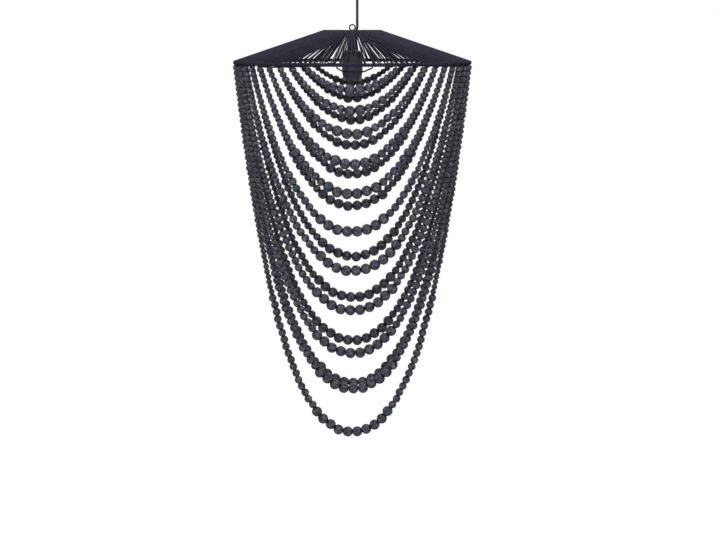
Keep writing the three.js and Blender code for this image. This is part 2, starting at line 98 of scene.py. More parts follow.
# Cord and wire frame
CORD_DROP = 0.084  # from the grip's face down to the top ring's wire
CORD_HOLE = 0.0029
CORD_SWERVE = 0.002  # its bend starts this much above the eyelet's middle
CORD_POINTS = 40
EYELET_DIAMETER = 0.014
EYELET_WIRE = 0.0027
STRUTS = 6
COLLAR_RADIUS = 0.0222
COLLAR_HEIGHT = 0.0016
SPIDER_WELD = 0.0009  # how far its wires reach into the collar
SPIDER_KNEE = 0.06  # where they run level, from the middle, and how low
SPIDER_DROP = 0.006
SPIDER_FOOT = 0.012  # from where they rise to the lower ring

# Strain relief, lampholder, ring nut, insulator and screw shell
RELIEF_TOP = 0.0443
RELIEF_RADIUS = 0.006
RELIEF_FOOT = 0.005
RELIEF_PITCH = 0.0033
HOLDER_TOP = 0.024
HOLDER_RADIUS = 0.021
HOLDER_WALL = 0.003
CAP_SHOULDER = 0.013
SEAM = 0.002
SHOULDER = -0.017
HOLDER_RIM = -0.036
STEM_RADIUS = 0.0178
STEM_PITCH = 0.0028
SOCKET_RADIUS = 0.0142
SOCKET_FLOOR = -0.006
SOCKET_FLOOR_HEIGHT = 0.004
NUT_HEIGHT = 0.012
NUT_TAPER = 0.002
NUT_GROOVE = 0.0009
NUT_RIB_SHARES = (0.08, 0.25, 0.75, 0.92)
INSULATOR_HEIGHT = 0.002
SHELL_RADIUS = 0.0138
SHELL_WALL = 0.0004
SHELL_LENGTH = 0.025
SHELL_PITCH = 0.0038
SHELL_DEPTH = 0.0007

# String and thread
RING_WRAP = 0.0024
WRAP_TURNS = 570
THREAD = 0.0012
TIE_THREAD = 0.0009
TIE_GAP = 0.0002
STRING_TWIST = 0.009
WRAP_TWIST = 0.006
THREAD_TWIST = 0.004
LOOP_UNEVENNESS = 0.12
LOOP_SEED = 11

# Wider gaps at the strings' feet: degrees round from the middle of the front, and of the back, and
# how much wider than the others
LOOSE_GAPS = ((-7.6, 1.0), (4.8, 0.6), (7.7, 0.6), (13.4, 0.3), (17.3, 0.5))

# Strands: angle between neighbouring ties, sway to either side, and how far the first bead's middle
# and the thread's end keep from the middle of the lower ring's wire
STRAND_PITCH = math.pi / 27
SWAY = math.pi / 12
FIRST_BEAD_CLEARANCE = 0.010
THREAD_SEAT = 0.00194

# Beads from the shortest strand to the longest but one: all small beads, medium beads on either side,
# large beads, and how many more small beads the left side has
FRONT_SMALL = (9, 15, 18, 25, 32, 40, 43, 53, 67, 76)
BACK_SMALL = (9, 14, 17, 23, 30, 36, 43, 53, 66, 76)
MEDIUM = (2, 3, 4, 5, 6, 7, 10, 12, 13, 15)
LARGE = (2, 2, 4, 5, 6, 8, 10, 10, 10, 10)
FRONT_LEAN = (0, 1, 0, 1, -1, 0, 2, 1, 1, 2)
BACK_LEAN = (0, 0, 0, 0, 0, 0, 2, 1, 0, 1)
CENTRE_STRAND = (88, 17, 10, 0)
STRANDS_A_SIDE = len(MEDIUM)
BEAD_WEIGHT_POWER = 0.7  # of its radius, for each length of bead

# Length along the thread, faces round and faces from end to end of a small, medium and large bead
BEAD_FORMS = ((0.0108, 12, 6), (0.015, 12, 7), (0.0197, 14, 8))
BEAD_END_SHARE = 0.86  # how far out the middle of an end is, in its dimple
BEAD_SIZE_SPREAD = 0.025
BEAD_DENT = 0.01
BEAD_TILT = 0.1
BEAD_TURN = 0.12
LOOSE_SHARE = 0.12  # how far off the thread's line a bead may sit, in radii
LOOSE_BELOW = 0.12  # how far below the ring that starts; it is less above


def length_setting(name, description, default):
    return FloatProperty(name=name, description=description, default=default, unit="LENGTH")


def colour_setting(name, description, default):
    return FloatVectorProperty(name=name, description=description, default=default, subtype="COLOR")


class ChandelierSizes(bpy.types.PropertyGroup):
    """Sizes of the frame, the cord and the beads"""

    ring_radius: length_setting("Lower ring", "Radius of the lower ring's wire", 0.2363)
    top_radius: length_setting("Top ring", "Radius of the top ring's wire", 0.0563)
    frame_height: length_setting("Frame height", "Height between the two rings", 0.061)
    wire: length_setting("Wire", "Diameter of the frame's wire", 0.003)
    string: length_setting("String", "Diameter of the wound string", 0.0029)
    loops: IntProperty(name="String loops", description="Loops of string round the frame", default=126)
    cord: length_setting("Cord", "Diameter of the cord", 0.0052)
    small_bead: length_setting("Small bead", "Diameter of a small bead", 0.012)
    medium_bead: length_setting("Medium bead", "Diameter of a medium bead", 0.016)
    large_bead: length_setting("Large bead", "Diameter of a large bead", 0.021)


class ChandelierColours(bpy.types.PropertyGroup):
    """Colours of the finishes"""

    bead: colour_setting("Beads", "Charcoal stain on the beads", (0.034, 0.036, 0.052))
    # Lighter patches on the beads: partly stain rubbed thin, partly painted highlight.
    bead_worn_and_highlight: colour_setting("Worn beads", "Where the stain is rubbed thin", (0.134, 0.138, 0.156))
    bead_grain: colour_setting("Bead grain", "Darker grain of the wood", (0.01, 0.01, 0.017))
    string: colour_setting("String", "Cotton string", (0.023, 0.023, 0.035))
    paint: colour_setting("Paint", "Paint on the wire and the rose", (0.007, 0.007, 0.009))
    plastic: colour_setting("Lampholder", "Moulded lampholder", (0.019, 0.022, 0.036))
    cord: colour_setting("Cord", "Braid on the cord", (0.018, 0.018, 0.02))
    brass: colour_setting("Brass", "Screw shell and screws", (0.69, 0.52, 0.27))
    ceramic: colour_setting("Ceramic", "Insulator and terminal block", (0.78, 0.75, 0.68))


def sizes():
    return bpy.context.scene.chandelier_sizes


def colours():
    return bpy.context.scene.chandelier_colours


def frame_origin():
    """The middle of the lower ring, in the part's own frame."""
    s = sizes()
    across = EYELET_DIAMETER / 2 + FIT + s.cord / 2
    return Vector((-across, 0, GRIP_FACE - CORD_DROP - s.frame_height))


def eyelet_level(s):
    """The eyelet's middle, which stands on the hanger bar."""
    return s.frame_height + s.wire / 2 + FIT + EYELET_DIAMETER / 2


# Shaders


class Socket:
    """A shader output that takes part in Python arithmetic."""

    def __init__(self, shader, output):
        self.shader = shader
        self.output = output

    def maths(self, operation, *others):
        return self.shader.add("ShaderNodeMath", {"operation": operation}, self, *others)

    def __add__(self, other):
        return self.maths("ADD", other)

    __radd__ = __add__

    def __sub__(self, other):
        return self.maths("SUBTRACT", other)

    def __rsub__(self, other):
        return self.shader.add("ShaderNodeMath", {"operation": "SUBTRACT"}, other, self)

    def __mul__(self, other):
        return self.maths("MULTIPLY", other)

    __rmul__ = __mul__

    def sine(self):
        return self.maths("SINE")

    def between(self, low, high):
        """0 below low, 1 above high and a smooth step between them."""
        settings = {"interpolation_type": "SMOOTHSTEP"}
        return self.shader.add("ShaderNodeMapRange", settings, self, low, high)


class Finish:
    """A material, or the world, whose nodes are added from Python values and sockets."""

    def __init__(self, name, world=None):
        self.material = world or bpy.data.materials.new(name)
        self.material.use_nodes = True
        self.tree = self.material.node_tree
        self.tree.nodes.clear()

    def add(self, kind, settings, *inputs, output=0, at=(), **named):
        """A new node's output: its settings first, then its inputs in order, by number or by name."""
        node = self.tree.nodes.new(kind)
        for name, value in settings.items():
            setattr(node, name, value)
        for key, value in [*enumerate(inputs), *at, *named.items()]:
            socket = node.inputs[key.replace("_", " ") if isinstance(key, str) else key]
            if isinstance(value, Socket):
                self.tree.links.new(value.output, socket)
            else:
                socket.default_value = value
        return Socket(self, node.outputs[output]) if node.outputs else None

    def place(self, scale, source=None):
        """Scaled coordinates to look a pattern up at, by default the piece's own."""
        if source is None:
            source = self.add("ShaderNodeTexCoord", {}, output="Object")
        return self.add("ShaderNodeVectorMath", {"operation": "MULTIPLY"}, source, scale)

    def noise(self, scale, detail, roughness=0.55, squeeze=(1.0, 1.0, 1.0), source=None):
        """Noise in the piece's own coordinates or the source's, squeezed along each axis."""
        where = self.place(squeeze, source)
        return self.add(
            "ShaderNodeTexNoise", {}, Vector=where, Scale=scale, Detail=detail, Roughness=roughness
        )

    def along_and_around(self):
        """The two parts of the UV map that a curve gives its tube."""
        uv = self.add("ShaderNodeUVMap", {}, output="UV")
        along = self.add("ShaderNodeSeparateXYZ", {}, uv, output="X")
        return along, self.add("ShaderNodeSeparateXYZ", {}, uv, output="Y")

    def blend(self, share, low, high):
        """A colour between two colours."""
        low, high = (end if isinstance(end, Socket) else (*end, 1.0) for end in (low, high))
        inputs = ((0, share), (6, low), (7, high))
        return self.add("ShaderNodeMix", {"data_type": "RGBA"}, output=2, at=inputs)

    def seen(self):
        """1 where the camera, a reflection or a clear body looks straight at the surface."""
        rays = [self.add("ShaderNodeLightPath", {}, output=f"Is {kind} Ray") for kind in SEEING_RAYS]
        first, second, third = rays
        return first.maths("MAXIMUM", second).maths("MAXIMUM", third)

    def bump(self, height, distance, strength):
        return self.add(
            "ShaderNodeBump", {}, output="Normal", Height=height, Distance=distance, Strength=strength
        )

    def close(self, **inputs):
        """The surface's own shader, joined to the output."""
        surface = self.add("ShaderNodeBsdfPrincipled", {}, **inputs)
        self.add("ShaderNodeOutputMaterial", {}, surface)
        return self.material


def shade(colour, share):
    return tuple(channel * share for channel in colour)


def stained_wood():
    """Turned wooden beads under a thin charcoal stain, each bead with its own grain and tone."""
    c = colours()
    finish = Finish("charcoal stained wood")
    grain = finish.add("ShaderNodeAttribute", {"attribute_name": "grain"}, output="Vector")
    tone = finish.add("ShaderNodeAttribute", {"attribute_name": "tone"}, output="Fac")
    end = finish.add("ShaderNodeAttribute", {"attribute_name": "end"}, output="Fac")
    fibres = finish.noise(scale=900.0, detail=4.0, roughness=0.7, squeeze=(1.0, 1.0, 0.2), source=grain)
    facets = finish.noise(scale=260.0, detail=3.0, roughness=0.65, squeeze=(1.0, 1.0, 0.45), source=grain)
    pores = finish.noise(scale=800.0, detail=2.0, roughness=0.5, squeeze=(1.0, 1.0, 0.35), source=grain)
    streaks = fibres.between(0.38, 0.62)
    holes = pores.between(0.6, 0.7)
    stain = finish.blend(streaks, tuple(c.bead_grain), tuple(c.bead))
    # Lighter patches on the raised facets: partly stain rubbed thin, partly painted highlight in place of
    # the soft lamps' reflection.
    worn = finish.blend(facets.between(0.46, 0.62) * 0.85, stain, tuple(c.bead_worn_and_highlight))
    warm = finish.blend(tone.between(0.75, 1.0) * 0.25, worn, (0.06, 0.05, 0.042))
    cool = finish.blend((1 - tone).between(0.7, 1.0) * 0.4, warm, (0.03, 0.037, 0.066))
    # Darker towards each bead's ends round its hole: partly stain pooled at the hole, partly painted
    # shade where neighbouring beads meet.
    pooled_stain_and_shade = finish.blend(end.between(0.5, 0.92) * 0.85, cool, shade(c.bead_grain, 0.6))
    colour = finish.blend(holes * 0.8, pooled_stain_and_shade, shade(c.bead_grain, 0.5))
    height = fibres * 0.3 + facets * 0.9 - holes * 0.6
    return finish.close(
        Base_Color=colour,
        Roughness=0.42 + facets * 0.2 + holes * 0.25,
        Specular_IOR_Level=0.18,
        Normal=finish.bump(height, distance=0.002, strength=0.8),
    )


def cotton(name, colour, twist, depth=0.0004):
    """Twisted string: three plies wind round it, and each length of twist brings up the next."""
    finish = Finish(name)
    along, around = finish.along_and_around()
    plies = (along * (math.tau / twist) + around * (3 * math.tau)).sine()
    fuzz = finish.noise(scale=1400.0, detail=3.0, roughness=0.7)
    soil = finish.noise(scale=45.0, detail=2.0)
    ridge = plies * 0.5 + 0.5
    # Darker in the grooves between the plies and lighter on their crowns: painted shade and painted
    # highlight, with random fuzz.
    ply_shade_and_fuzz = finish.blend(ridge * 0.6 + fuzz * 0.4, shade(colour, 0.5), shade(colour, 1.35))
    worn = finish.blend(soil.between(0.45, 0.8) * 0.35, ply_shade_and_fuzz, shade(colour, 1.9))
    return finish.close(
        Base_Color=worn,
        Roughness=0.84 + fuzz * 0.14,
        Specular_IOR_Level=0.04,
        Normal=finish.bump(ridge * 0.7 + fuzz * 0.4, distance=depth, strength=0.6),
    )


def thread_finish():
    return cotton("charcoal thread", colours().string, THREAD_TWIST, depth=0.0001)


def powder_coat():
    """Black powder coat with a fine texture and faint rubbed places."""
    c = colours()
    finish = Finish("black powder coat")
    texture = finish.noise(scale=1800.0, detail=2.0)
    rubbed = finish.noise(scale=60.0, detail=4.0, roughness=0.65).between(0.55, 0.8)
    colour = finish.blend(rubbed * 0.5, tuple(c.paint), shade(c.paint, 2.4))
    return finish.close(
        Base_Color=colour,
        Roughness=0.42 + texture * 0.15 + rubbed * 0.1,
        Specular_IOR_Level=0.25,
        Normal=finish.bump(texture, distance=0.0002, strength=0.4),
    )


def moulded_plastic():
    """Black moulded lampholder: a satin skin with fine scratches."""
    c = colours()
    finish = Finish("black moulded plastic")
    skin = finish.noise(scale=900.0, detail=3.0)
    lines = finish.noise(scale=3.0, detail=4.0, roughness=0.7, squeeze=(40.0, 40.0, 900.0))
    scratches = lines.between(0.62, 0.75)
    dust = finish.noise(scale=120.0, detail=4.0, roughness=0.7).between(0.5, 0.8)
    colour = finish.blend(dust * 0.4, tuple(c.plastic), shade(c.plastic, 2.2))
    return finish.close(
        Base_Color=colour,
        Roughness=0.36 + skin * 0.12 + scratches * 0.2,
        Specular_IOR_Level=0.45,
        Normal=finish.bump(skin * 0.6 + scratches * 0.4, distance=0.0001, strength=0.4),
    )


def braided_sleeve(length, width):
    """The cord's black textile sleeve: two sets of eight yarns that cross at a slant."""
    c = colours()
    finish = Finish("black braided sleeve")
    share, turn = finish.along_and_around()
    pitch = width * 0.42
    along = share * (math.tau * length / pitch)
    around = turn * (8 * math.tau)
    weave = (along + around).sine() * (along - around).sine()
    fuzz = finish.noise(scale=2600.0, detail=2.0)
    # Darker in the weave's hollows and lighter on the yarns' crowns: painted shade and painted highlight.
    colour = finish.blend(weave * 0.5 + 0.5, shade(c.cord, 0.45), shade(c.cord, 2.0))
    return finish.close(
        Base_Color=colour,
        Roughness=0.75 + fuzz * 0.15,
        Specular_IOR_Level=0.25,
        Sheen_Weight=0.1,
        Normal=finish.bump(weave * 0.5 + fuzz * 0.3, distance=0.0002, strength=0.6),
    )


def rolled_brass():
    """Brass with rolling marks, dulled in places."""
    c = colours()
    finish = Finish("rolled brass")
    marks = finish.noise(scale=2.0, detail=3.0, squeeze=(60.0, 60.0, 1400.0))
    tarnish = finish.noise(scale=140.0, detail=4.0, roughness=0.6).between(0.45, 0.75)
    colour = finish.blend(tarnish * 0.6, tuple(c.brass), shade(c.brass, 0.55))
    return finish.close(
        Base_Color=colour,
        Metallic=1.0,
        Roughness=0.25 + tarnish * 0.2 + marks * 0.1,
        Normal=finish.bump(marks, distance=0.0001, strength=0.3),
    )


def glazed_ceramic():
    """Pale glazed ceramic with fine specks."""
    c = colours()
    finish = Finish("pale ceramic")
    cloud = finish.noise(scale=90.0, detail=3.0)
    specks = finish.noise(scale=1300.0, detail=1.0).between(0.68, 0.75)
    colour = finish.blend(cloud * 0.5 + specks * 0.4, tuple(c.ceramic), shade(c.ceramic, 0.75))
    return finish.close(
        Base_Color=colour,
        Roughness=0.35 + cloud * 0.15,
        Normal=finish.bump(cloud, distance=0.0002, strength=0.3),
    )


def once(maker, *values):
    """A finish that several pieces share, made the first time that it is asked for."""
    key = maker.__name__
    if key not in made_finishes:
        made_finishes[key] = maker(*values)
    return made_finishes[key]


made_finishes = {}


# Shapes


def shaped(name, mesh, finishes, body, stands_for, crease=35.0):
    """A finished piece of the lamp on its body, with smooth faces and sharp creases."""
    bm = bmesh.new()
    bm.from_mesh(mesh)
    for face in bm.faces:
        face.smooth = True
    for edge in bm.edges:
        edge.smooth = not (edge.is_manifold and edge.calc_face_angle(0.0) > math.radians(crease))
    bm.to_mesh(mesh)
    bm.free()
    for finish in finishes:
        mesh.materials.append(finish)
    piece = bpy.data.objects.new(name, mesh)
    bpy.context.scene.collection.objects.link(piece)
    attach(piece, body)
    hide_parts(*stands_for)


def dress(node, finish):
    """Give one of the part's own solids its finish."""
    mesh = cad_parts[node].data
    mesh.materials.clear()
    mesh.materials.append(finish)


def as_mesh(name, bm, offset=Vector()):
    bmesh.ops.translate(bm, verts=bm.verts, vec=offset)
    mesh = bpy.data.meshes.new(name)
    bm.to_mesh(mesh)
    bm.free()
    return mesh


def turned(profile, steps=72, closed=True):
    """A turned solid from (radius, height, rounding of that corner) points."""
    bm = bmesh.new()
    corners = [bm.verts.new((radius, 0, height)) for radius, height, _ in profile]
    edges = [bm.edges.new(pair) for pair in zip(corners, corners[1:])]
    if closed:
        edges.append(bm.edges.new((corners[-1], corners[0])))
    for rounding in sorted({point[2] for point in profile if point[2]}):
        chosen = [v for v, point in zip(corners, profile) if point[2] == rounding]
        bmesh.ops.bevel(
            bm,
            geom=chosen,
            offset=rounding,
            offset_type="OFFSET",
            segments=4,
            profile=0.5,
            affect="VERTICES",
            material=-1,
        )
    geom = bm.verts[:] + bm.edges[:]
    bmesh.ops.spin(
        bm, geom=geom, cent=(0, 0, 0), axis=(0, 0, 1), steps=steps, angle=math.tau, use_merge=True
    )
    bmesh.ops.remove_doubles(bm, verts=bm.verts, dist=1e-6)
    bmesh.ops.recalc_face_normals(bm, faces=bm.faces)
    return bm


def curve_through(name, routes, thickness, closed, resolution):
    """A curve object of round wire through each route of points."""
    curve = bpy.data.curves.new(name, "CURVE")
    curve.dimensions = "3D"
    curve.bevel_depth = thickness / 2
    curve.bevel_resolution = resolution
    curve.use_fill_caps = not closed
    for route in routes:
        spline = curve.splines.new("POLY")
        spline.points.add(len(route) - 1)
        for point, at in zip(spline.points, route):
            point.co = (*at, 1.0)
        spline.use_cyclic_u = closed
    return bpy.data.objects.new(name, curve)


def lengths_along(route, closed=False):
    """How far along a route each of its points lies, and its end if it is closed."""
    along = [0.0]
    for start, end in zip(route, route[1:] + route[:1] if closed else route[1:]):
        along.append(along[-1] + (end - start).length)
    return along


def wires(name, routes, thickness, closed, resolution):
    """A mesh of round wire through each route of points.

    Its UV map runs in metres along the wire and once round it. Every route is spaced as the first is.
    """
    made = curve_through(name, routes, thickness, closed, resolution)
    mesh = bpy.data.meshes.new_from_object(made)
    mesh.name = name
    curve = made.data
    bpy.data.objects.remove(made)
    bpy.data.curves.remove(curve)
    along = lengths_along(routes[0], closed)
    for corner in mesh.uv_layers[0].data:
        corner.uv[0] = along[round(corner.uv[0] * (len(along) - 1))]
    return mesh


def evenly(route, count):
    """The same route with its points evenly spaced."""
    along = lengths_along(route)
    points = []
    for i in range(count):
        reach = along[-1] * i / (count - 1)
        k = next((k for k in range(len(route) - 2) if along[k + 1] > reach), len(route) - 2)
        share = (reach - along[k]) / (along[k + 1] - along[k])
        points.append(route[k].lerp(route[k + 1], share))
    return points


def polar(radius, angle, height):
    return Vector((radius * math.cos(angle), radius * math.sin(angle), height))


def circle(radius, height, steps):
    return [polar(radius, math.tau * i / steps, height) for i in range(steps)]


def smooth_route(points):
    """Points on a smooth line through the given points."""
    steps = 8
    route = []
    for i in range(len(points) - 1):
        before = points[max(i - 1, 0)]
        start, end = points[i], points[i + 1]
        after = points[min(i + 2, len(points) - 1)]
        for j in range(steps):
            t = j / steps
            slope = (end - before) * t
            curl = (2 * before - 5 * start + 4 * end - after) * t**2
            twist = (3 * start - before - 3 * end + after) * t**3
            route.append(0.5 * (2 * start + slope + curl + twist))
    return [*route, points[-1]]


# Stage


class CHANDELIER_OT_stage(bpy.types.Operator):
    """Set up the camera, the white surroundings, the floor and the lamps"""

    bl_idname = "chandelier.stage"
    bl_label = "Stage"

    def execute(self, context):
        scene = context.scene
        scene.view_settings.view_transform = "Standard"
        camera = bpy.data.cameras.new("camera")
        camera.sensor_fit = "HORIZONTAL"
        camera.sensor_width = SENSOR
        camera.lens = SENSOR * FOCAL_LENGTH / PICTURE_WIDTH
        camera.clip_end = 100.0
        holder = bpy.data.objects.new("camera", camera)
        holder.location = CAMERA_PLACE
        holder.rotation_euler = (math.radians(90 - DEGREES_DOWN), 0, 0)
        scene.collection.objects.link(holder)
        scene.camera = holder
        self.surroundings(scene)
        self.floor(scene)
        for lamp in LAMPS:
            self.lamp(scene, *lamp)
        return {"FINISHED"}

    def surroundings(self, scene):
        """White where the camera, a reflection or glass sees it, and a soft grey light otherwise."""
        world = bpy.data.worlds.new("surroundings")
        world.use_nodes = True
        sky = Finish("surroundings", world)
        soft = sky.add("ShaderNodeBackground", {}, (0.93, 0.96, 1.0, 1.0), SOFT_LIGHT)
        white = sky.add("ShaderNodeBackground", {}, (1.0, 1.0, 1.0, 1.0), 1.0)
        mix = sky.add("ShaderNodeMixShader", {}, sky.seen(), soft, white)
        sky.add("ShaderNodeOutputWorld", {}, mix)
        scene.world = world

    def floor(self, scene):
        """A pale floor that glows where it is seen, more the farther out, so that all of it is white."""
        bm = bmesh.new()
        bmesh.ops.create_circle(bm, cap_ends=True, radius=FLOOR_RADIUS, segments=64)
        mesh = as_mesh("floor", bm, (0, 0, FLOOR_LEVEL))
        finish = Finish("white floor")
        matt = finish.add("ShaderNodeBsdfDiffuse", {}, (0.86, 0.86, 0.86, 1.0))
        flat = finish.place((1.0, 1.0, 0.0))
        far = finish.add("ShaderNodeVectorMath", {"operation": "LENGTH"}, flat, output="Value")
        strength = FLOOR_GLOW + far.between(0.0, FLOOR_GLOW_REACH) * FLOOR_GLOW_RISE
        glow = finish.add("ShaderNodeEmission", {}, (1.0, 1.0, 1.0, 1.0), strength)
        white = finish.add("ShaderNodeAddShader", {}, matt, glow)
        mix = finish.add("ShaderNodeMixShader", {}, finish.seen(), matt, white)
        finish.add("ShaderNodeOutputMaterial", {}, mix)
        mesh.materials.append(finish.material)
        floor = bpy.data.objects.new("floor", mesh)
        scene.collection.objects.link(floor)

    def lamp(self, scene, name, place, size, power):
        light = bpy.data.lights.new(name, "AREA")
        light.shape = "DISK"
        light.size = size
        light.energy = power
        made = bpy.data.objects.new(name, light)
        made.location = place
        aim = LAMP_AIM - Vector(place)
        made.rotation_euler = aim.to_track_quat("-Z", "Y").to_euler()
        scene.collection.objects.link(made)


# Cord


class CHANDELIER_OT_cord(bpy.types.Operator):
    """Hang the braided cord from the rose's grip, past the eyelet, to the strain relief"""

    bl_idname = "chandelier.cord"
    bl_label = "Cord"

    def execute(self, context):
        s = sizes()
        origin = frame_origin()
        route = evenly([point + origin for point in self.route(s, origin)], CORD_POINTS)
        length = lengths_along(route)[-1]
        cord = curve_through("power_cord_braided", [route], s.cord, closed=False, resolution=6)
        cord.data.materials.append(once(braided_sleeve, length, s.cord))
        context.scene.collection.objects.link(cord)
        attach(cord, "pendant")
        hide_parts("cord_head", "cord_neck", "power_cord")
        return {"FINISHED"}

    def route(self, s, origin):
        """Straight down from the grip, then in two even bends to the strain relief."""
        across = -origin.x
        start = eyelet_level(s) + CORD_SWERVE
        end = RELIEF_TOP + FIT
        radius = ((start - end) ** 2 / across + across) / 4
        angle = math.asin((start - end) / 2 / radius)
        bend_steps, drop_steps = 8, 6
        turns = [angle * i / bend_steps for i in range(bend_steps + 1)]
        bend = [(radius * (1 - math.cos(turn)), radius * math.sin(turn)) for turn in turns]
        top = GRIP_FACE - FIT - origin.z
        route = [Vector((across, 0, top + (start - top) * i / drop_steps)) for i in range(drop_steps)]
        route += [Vector((across - aside, 0, start - down)) for aside, down in bend]
        return route + [Vector((aside, 0, end + up)) for aside, up in reversed(bend[:-1])]


# Ceiling rose


class CHANDELIER_OT_rose(bpy.types.Operator):
    """Shape the ceiling rose: canopy, side screws and cord grip, and finish what is inside"""

    bl_idname = "chandelier.rose"
    bl_label = "Ceiling rose"

    def execute(self, context):
        paint = [once(powder_coat)]
        plastic = [once(moulded_plastic)]
        canopy = as_mesh("canopy", self.canopy())
        grip = as_mesh("grip", self.grip())
        shaped("canopy_spun", canopy, paint, "rose", ["rose_canopy"])
        shaped("cord_grip_moulded", grip, plastic, "rose", ["rose_cord_grip"])
        for side, turn in (("right", 1), ("left", -1)):
            name = f"rose_screw_{side}"
            screw = self.screw()
            sideways = Matrix.Rotation(turn * math.pi / 2, 4, "Y")
            bmesh.ops.transform(screw, matrix=sideways, verts=screw.verts)
            mesh = as_mesh(f"screw_{side}", screw, (0, 0, SCREW_LEVEL))
            shaped(f"{name}_turned", mesh, [once(rolled_brass)], "rose", [name])
        for node, finish in (
            ("rose_bracket", once(powder_coat)),
            ("terminal_block", once(glazed_ceramic)),
            ("cord_in_rose", once(powder_coat)),
        ):
            dress(node, finish)
        return {"FINISHED"}

    def canopy(self):
        inside = ROSE_RADIUS - ROSE_WALL
        return turned(
            [
                (ROSE_HOLE, -ROSE_HEIGHT, 0.0003),
                (ROSE_RADIUS, -ROSE_HEIGHT, ROSE_ROUNDING),
                (ROSE_RADIUS, 0.0, 0.0005),
                (inside, 0.0, 0.0),
                (inside, ROSE_WALL - ROSE_HEIGHT, ROSE_ROUNDING - ROSE_WALL),
                (ROSE_HOLE, ROSE_WALL - ROSE_HEIGHT, 0.0),
            ],
            steps=96,
        )

    def grip(self):
        seat = -ROSE_HEIGHT - FIT
        stem_top = seat + GRIP_STEM_LENGTH
        return turned(
            [
                (CORD_HOLE, GRIP_FACE, 0.0003),
                (GRIP_NOSE, GRIP_FACE, 0.0008),
                (GRIP_RADIUS, GRIP_FACE + GRIP_TAPER, 0.0006),
                (GRIP_RADIUS, seat, 0.0004),
                (GRIP_STEM, seat, 0.0),
                (GRIP_STEM, stem_top, 0.0004),
                (CORD_HOLE, stem_top, 0.0),
            ],
            steps=48,
        )

    def screw(self):
        """A side screw, still upright, with its tip and head as far from the axis as in the rose."""
        seat = ROSE_RADIUS + FIT
        tip = seat - SCREW_LENGTH
        crown = seat + SCREW_HEAD_HEIGHT
        return turned(
            [
                (0.0, tip, 0.0),
                (SCREW_RADIUS, tip, 0.0003),
                (SCREW_RADIUS, seat, 0.0),
                (SCREW_HEAD_RADIUS, seat, 0.0002),
                (SCREW_HEAD_RADIUS * 0.9, crown - SCREW_DOME, 0.0006),
                (0.0, crown, 0.0),
            ],
            steps=32,
            closed=False,
        )


# Wire frame


class CHANDELIER_OT_frame(bpy.types.Operator):
    """Bend the round wire rings, struts, hanger bar, eyelet and spider"""

    bl_idname = "chandelier.frame"
    bl_label = "Wire frame"

    def execute(self, context):
        s = sizes()
        rings = [
            ("lower_ring", circle(s.ring_radius, 0, 180)),
            ("top_ring", circle(s.top_radius, s.frame_height, 96)),
        ]
        for node, route in rings:
            self.bend(f"{node}_wire", [route], s.wire, [node], closed=True)
        for i in range(STRUTS):
            node = f"frame_strut_{i + 1}"
            angle = math.tau * (i + 1 / 3) / STRUTS
            foot = polar(s.ring_radius, angle, 0)
            head = polar(s.top_radius, angle, s.frame_height)
            inset = (head - foot).normalized() * (s.wire / 2 + FIT)
            self.bend(f"{node}_wire", [[foot + inset, head - inset]], s.wire, [node])
        reach = s.top_radius - s.wire / 2 - FIT
        bar = [Vector((0, -reach, s.frame_height)), Vector((0, reach, s.frame_height))]
        self.bend("hanger_bar_wire", [bar], s.wire, ["hanger_bar"])
        flat = circle((EYELET_DIAMETER - EYELET_WIRE) / 2, 0, 48)
        loop = [Vector((point.x, 0, eyelet_level(s) + point.y)) for point in flat]
        self.bend("hanging_eyelet_wire", [loop], EYELET_WIRE, ["hanging_eyelet"], closed=True)
        self.spider(s)
        return {"FINISHED"}

    def bend(self, name, routes, thickness, nodes, closed=False):
        mesh = wires(name, routes, thickness, closed, resolution=4)
        mesh.transform(Matrix.Translation(frame_origin()))
        shaped(name, mesh, [once(powder_coat)], "pendant", nodes)

    def spider(self, s):
        """The collar under the lampholder's shoulder and its three wires, which end clear of the ties."""
        top = SHOULDER - FIT
        bottom = top - COLLAR_HEIGHT
        middle = top - COLLAR_HEIGHT / 2
        hole = STEM_RADIUS + FIT
        spider = turned(
            [
                (hole, top, 0.0003),
                (hole, bottom, 0.0003),
                (COLLAR_RADIUS, bottom, 0.0005),
                (COLLAR_RADIUS, top, 0.0005),
            ]
        )
        rim = s.ring_radius - s.wire / 2 - 2 * FIT
        routes = []
        for i in range(3):
            angle = math.tau * i / 3 - STRAND_PITCH * 2.5
            points = [
                polar(COLLAR_RADIUS - SPIDER_WELD, angle, middle),
                polar(COLLAR_RADIUS + s.wire, angle, middle),
                polar((COLLAR_RADIUS + SPIDER_KNEE) / 2, angle, (top - SPIDER_DROP) / 2),
                polar(SPIDER_KNEE, angle, -SPIDER_DROP),
                polar(rim - SPIDER_FOOT, angle, -SPIDER_DROP),
                polar(rim, angle, 0),
            ]
            routes.append(smooth_route(points))
        spider.from_mesh(wires("spider", routes, s.wire, closed=False, resolution=4))
        mesh = as_mesh("spider", spider, frame_origin())
        shaped("frame_spider_wire", mesh, [once(powder_coat)], "pendant", ["frame_spider"])


# String


